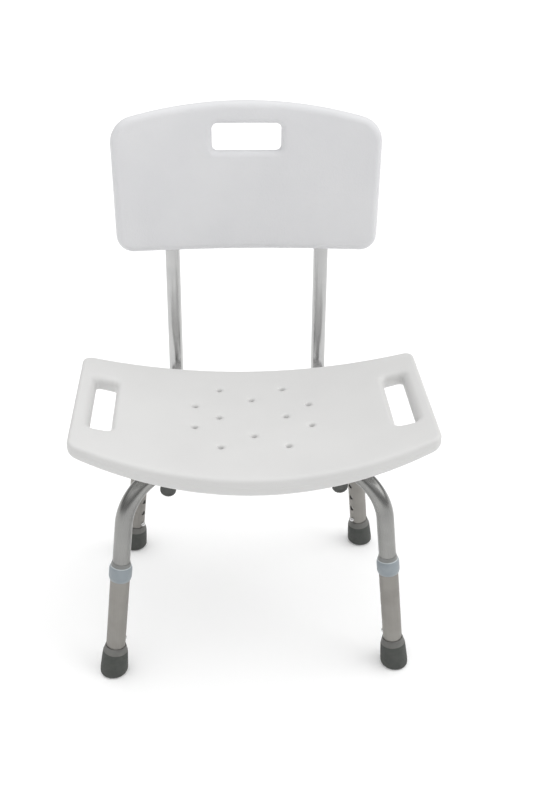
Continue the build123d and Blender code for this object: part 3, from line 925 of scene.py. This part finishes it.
def buildLegTube(corner):
    # drilled flat and rolled up: the holes face the middle of the stool
    mesh = bmesh.new()
    lengthwise = mesh.loops.layers.uv.new("lengthwise")
    radius, wall = leg["radius"], leg["wall"]
    half = math.pi * radius
    place, columns = legMatrix(corner), leg["columns"]
    across = [-half + 2 * half * k / columns for k in range(columns + 1)]
    bottom, top = leg["bottom"], leg["top"]
    side = spaced([Vector((half, bottom)), Vector((half, top))], leg["sideGap"], False)
    border = [Vector((x, bottom)) for x in across] + side[1:-1] + [Vector((x, top)) for x in reversed(across)]
    border += [Vector((-half, p.y)) for p in side[-2:0:-1]]
    heights = [leg["firstHole"] + k * leg["pitch"] for k in range(leg["holes"])]
    holes = [circleLoop(0, height, leg["holeRadius"], 28) for height in heights]
    rims = []
    for depth in (0.0, wall):
        def rolled(p, r=radius - depth):
            turn = p.x / radius
            return place @ Vector((r * math.cos(turn), r * math.sin(turn), p.y))

        loops = [(loop, ringOf(mesh, [rolled(p) for p in loop])) for loop in [border, *holes]]
        fillBetween(mesh, loops[0], loops[1:], rolled, leg["grid"])
        rims.append(loops)
    for outer, inner in zip(rims[0][1:], rims[1][1:]):
        joinRings(mesh, outer[1], inner[1])
    a, b = rims[0][0][1], rims[1][0][1]
    for first in (0, columns + len(side) - 1):    # the tube's bottom end, then its top end
        for i in range(first, first + columns):
            mesh.faces.new((a[i], a[i + 1], b[i + 1], b[i]))
    back = place.inverted()
    for face in mesh.faces:
        spots = []
        for loop in face.loops:
            p = back @ loop.vert.co
            spots.append((math.atan2(p.y, p.x) * radius, p.z))
        wrap = max(s[0] for s in spots) - min(s[0] for s in spots) > half
        for loop, (u, v) in zip(face.loops, spots):
            loop[lengthwise].uv = (u + 2 * half if wrap and u < 0 else u, v)
    bmesh.ops.remove_doubles(mesh, verts=mesh.verts, dist=1e-6)
    nodes = ["leg_tube_" + corner]
    return newPiece("legTube_" + corner, mesh, mattAluminium, "leg_" + corner, nodes, 50)


def paintedLightBand(piece, place, low, high, material):
    # painted light and shade: a second colour on the faces that lie between two heights up a leg
    toLeg = place.inverted()
    piece.data.materials.append(material)
    slot = len(piece.data.materials) - 1
    for face in piece.data.polygons:
        spot = toLeg @ face.center
        if low < spot.z < high and math.hypot(spot.x, spot.y) > leg["radius"] - leg["paintDepth"]:
            face.material_index = slot


def buildCollar(corner):
    points = [Vector((r, h, 0)) for r, h in collar["outline"]]
    outline = roundCorners(points, collar["rounding"], step=10)
    grip, top, place = collar["grip"], leg["top"] + hairGap, legMatrix(corner)
    inside = [(grip, collar["outline"][-1][1]), (grip, top), (collar["outline"][0][0], top)]
    mesh = turnedMesh([(p.x, p.y) for p in outline] + inside, place, 56)
    plastic, nodes = finishes["collarPlastic"], ["leg_collar_" + corner]
    piece = newPiece("legCollar_" + corner, mesh, plastic, "leg_" + corner, nodes, 40)
    # painted highlight: the pale line round the shoulder
    paintedLightBand(piece, place, *collar["crest"], finishes["collarCrest"])
    # painted shade: the cone above the highlight is coloured darker
    paintedLightBand(piece, place, collar["crest"][1], collar["outline"][-1][1] + 1, finishes["collarLip"])
    return piece


def buildFoot(corner):
    place = legMatrix(corner)
    tilt = place.to_3x3().col[2].angle(Vector((0, 0, 1)))
    base, edge = foot["outline"][0][0], foot["edge"]
    upper = roundCorners([Vector((r, h, 0)) for r, h in foot["outline"]], foot["rounding"], step=8)
    inner = [(foot["bore"] + wider, height) for wider, height in foot["mouth"]]
    inner += [(foot["bore"], foot["sole"]), (0, foot["sole"])]
    # the sole is cut level: its rings are measured from the floor, and carried below -1 to tell them apart
    tread, deep, draft = [(0, 0)], foot["ribDepth"], 0.0001
    for k, r in enumerate(foot["ribs"]):
        tread += [(r - draft, deep if k % 2 else 0), (r + draft, 0 if k % 2 else deep)]
    tread.append((base - edge, 0))
    steps = 6
    for k in range(1, steps + 1):
        t = math.pi / 2 * k / steps
        tread.append((base - edge * (1 - math.sin(t)), edge * (1 - math.cos(t))))
    profile = [(r, -1 - lift) for r, lift in tread] + [(p.x, p.y) for p in upper] + inner

    def level(point, turn):
        if point.z > -0.5:
            return point
        lift = -1 - point.z
        return Vector((point.x, point.y, lift / math.cos(tilt) + point.x * math.tan(tilt)))

    mesh = turnedMesh(profile, Matrix.Identity(4), 64, level)
    middle = min(mesh.verts, key=lambda v: v.co.z)
    middle.co.z = 0 if middle.co.z < -0.5 else middle.co.z
    mesh.transform(place)
    nodes = ["leg_foot_" + corner]
    piece = newPiece("legFoot_" + corner, mesh, finishes["footRubber"], "leg_" + corner, nodes, 50)
    # painted light: the upward-facing shoulder is coloured lighter than the rubber below
    paintedLightBand(piece, place, foot["scuffFrom"], 1, finishes["scuffedRubber"])
    return piece


def buildButton(corner):
    radius, dome, tip = button["radius"], button["dome"], button["tip"]
    centre = tip - dome
    edge = math.sqrt(dome**2 - radius**2)
    flange, inner, outer = button["flange"]
    profile = [(0, inner), (flange, inner), (flange, outer), (radius, outer), (radius, centre + edge - 0.0003)]
    first, steps = math.asin((radius - 0.0002) / dome), 8
    turns = [first * (1 - k / steps) for k in range(steps + 1)]
    profile += [(dome * math.sin(t), centre + dome * math.cos(t)) for t in turns]
    turn = Matrix.Translation((0, 0, leg["firstHole"])) @ Matrix.Rotation(math.pi / 2, 4, "Y")
    mesh = turnedMesh(profile, legMatrix(corner) @ turn, 40)
    steel, nodes = finishes["buttonSteel"], ["snap_button_" + corner]
    return newPiece("snapButton_" + corner, mesh, steel, "button_" + corner, nodes, 40)


for corner in corners:
    buildLegTube(corner)
    buildCollar(corner)
    buildFoot(corner)
    buildButton(corner)
print("legs built")


plug = {
    "head": 0.0114,
    "proud": 0.0042,
    "round": 0.0018,
    "dish": (0.0078, 0.0072, 0.0007),    # the sunk face's rim and floor radius, and its depth
    "shank": 0.0095,
    "deep": 0.009,
    "bore": (0.0065, 0.002),   # radius, and how far in its floor is
    "ribs": 18,
    "ribDepth": 0.0003,
    "sides": 144,
}


def buildPlug(name, place, nodes):
    head, proud, shank, deep = plug["head"], plug["proud"], plug["shank"], plug["deep"]
    dishRim, dishFloor, sunk = plug["dish"]
    face = [(head, 0, 0), (head, proud, 0), (dishRim, proud, 0), (dishFloor, proud - sunk, 0), (0, proud - sunk, 0)]
    face = roundCorners(face, [0, plug["round"], 0.0002, 0.0002, 0], step=12)
    bore, floor = plug["bore"]
    stem = [(0, -floor), (bore, -floor), (bore, -deep), (shank - 0.0006, -deep), (shank, -deep + 0.0008), (shank, 0)]

    def ribbed(point, turn):
        # only the head's rim is ribbed, not the shank or the face that meets the tube
        rim = math.hypot(point.x, point.y)
        if rim < shank + 0.0008 or point.z < 0.0004:
            return point
        ridge = plug["ribDepth"] / rim * max(0.0, math.cos(plug["ribs"] * turn))
        return point - Vector((point.x, point.y, 0)) * ridge

    mesh = turnedMesh([(p.x, p.y) for p in face] + stem, place, plug["sides"], ribbed)
    return newPiece(name, mesh, finishes["capPlastic"], "stool", nodes, 40)


for name, node, side in (("leftFrontPlug", "front_cap_left", 1), ("rightFrontPlug", "front_cap_right", -1)):
    toe = math.atan((posts["frontX"] - posts["x"]) / (postCornerY() - postStartY()))
    turn = Matrix.Rotation(side * toe, 4, "Z") @ Matrix.Rotation(math.pi / 2, 4, "X")
    place = Matrix.Translation((side * posts["frontX"], postStartY(), posts["runHeight"])) @ turn
    place = place @ Matrix.Translation((0, 0, hairGap))
    buildPlug(name, place, [node])
for name, side in (("leftTopPlug", 1), ("rightTopPlug", -1)):
    place = backFrame() @ Matrix.Translation((side * posts["x"], 0, posts["length"] + hairGap))
    buildPlug(name, place, ["post_caps"])
print("plugs built")


keptFinishes = {
    "crossing_saddle": finishes["saddlePlastic"],
    "seat_saddles": finishes["saddlePlastic"],
    "tube_saddles": finishes["saddlePlastic"],
    "bolt_saddles": finishes["saddlePlastic"],
    "crossing_rivet": finishes["zincSteel"],
    "seat_bolts": finishes["zincSteel"],
    "backrest_screws": finishes["zincSteel"],
    "backrest_washers": finishes["zincSteel"],
    "seat_inserts": finishes["brassInsert"],
    "backrest_inserts": finishes["brassInsert"],
}
for name, node in frame["nodes"].items():
    finish = keptFinishes.get(name)
    if name.startswith("leaf_spring"):
        finish = finishes["springSteel"]
    elif name.startswith("foot_washer"):
        finish = finishes["zincSteel"]
    if finish:
        node.data.materials.clear()
        node.data.materials.append(finish)
        node.data.shade_smooth()
        node.data.set_sharp_from_angle(angle=math.radians(35))
print("hardware finished")


studio = {
    "floor": (0.93, 0.93, 0.93),
    "floorHalf": 20,
    "glow": 0.12,              # the floor is a lit table
    # (height, brightness), from the horizon up
    "sky": ((0.0, 1.0), (0.05, 1.0), (0.10, 0.35), (0.35, 0.45), (0.6, 1.2), (0.85, 2.0), (1.0, 2.2)),
    "skyStrength": 0.72,
    "keyStrength": 0.70,
    "keySoftness": math.radians(50),
    "keyFrom": (0.9, -0.12, 0.8),
}
view = {
    "eye": (-0.05507, -1.34567, 1.14993),
    "down": 0.561,
    "right": 0.064,
    "roll": 0.016,
    "lens": 47.12,
    "sensor": 36,
    "shift": (-0.0062, 0.0414),
}


def buildStage():
    floorMesh = bmesh.new()
    half = studio["floorHalf"]
    floorMesh.faces.new(ringOf(floorMesh, [(-half, -half, 0), (half, -half, 0), (half, half, 0), (-half, half, 0)]))
    data = bpy.data.meshes.new("floor")
    floorMesh.to_mesh(data)
    floorMesh.free()
    material, _, _, shader = startMaterial("floorPaint", {"Roughness": 0.9, "Specular IOR Level": 0.1})
    shader.inputs["Base Color"].default_value = (*studio["floor"], 1)
    shader.inputs["Emission Color"].default_value = (1, 1, 1, 1)
    shader.inputs["Emission Strength"].default_value = studio["glow"]
    data.materials.append(material)
    floor = bpy.data.objects.new("floor", data)
    bpy.context.scene.collection.objects.link(floor)
    world = bpy.data.worlds.new("studio")
    world.use_nodes = True
    worldNodes, worldLinks = world.node_tree.nodes, world.node_tree.links
    split = worldNodes.new("ShaderNodeSeparateXYZ")
    worldLinks.new(worldNodes.new("ShaderNodeTexCoord").outputs["Generated"], split.inputs[0])
    ramp = worldNodes.new("ShaderNodeValToRGB")
    brightest = max(level for _, level in studio["sky"])
    while len(ramp.color_ramp.elements) < len(studio["sky"]):
        ramp.color_ramp.elements.new(0.5)
    for stop, (height, level) in zip(ramp.color_ramp.elements, studio["sky"]):
        stop.position, stop.color = height, (*[level / brightest] * 3, 1)
    worldLinks.new(split.outputs["Z"], ramp.inputs[0])
    worldLinks.new(ramp.outputs["Color"], worldNodes["Background"].inputs["Color"])
    worldNodes["Background"].inputs["Strength"].default_value = studio["skyStrength"] * brightest
    bpy.context.scene.world = world
    key = bpy.data.lights.new("key", "SUN")
    key.energy, key.angle = studio["keyStrength"], studio["keySoftness"]
    lamp = bpy.data.objects.new("key", key)
    lamp.rotation_mode = "QUATERNION"
    lamp.rotation_quaternion = Vector(studio["keyFrom"]).to_track_quat("Z", "Y")
    bpy.context.scene.collection.objects.link(lamp)


def buildCamera():
    down, right, roll = view["down"], view["right"], view["roll"]
    forward = Vector((math.sin(right) * math.cos(down), math.cos(right) * math.cos(down), -math.sin(down)))
    level = Vector((math.cos(right), -math.sin(right), 0))
    upward = level.cross(forward)
    across = level * math.cos(roll) + upward * math.sin(roll)
    up = upward * math.cos(roll) - level * math.sin(roll)
    data = bpy.data.cameras.new("camera")
    data.lens, data.sensor_width = view["lens"], view["sensor"]
    data.shift_x, data.shift_y = view["shift"]
    data.clip_start, data.clip_end = 0.01, 100
    camera = bpy.data.objects.new("camera", data)
    turn = Matrix(list(zip(across, up, -forward))).to_4x4()
    camera.matrix_world = Matrix.Translation(view["eye"]) @ turn
    bpy.context.scene.collection.objects.link(camera)
    bpy.context.scene.camera = camera


buildStage()
buildCamera()
bpy.context.scene.view_settings.view_transform = "Standard"
print("stage set")
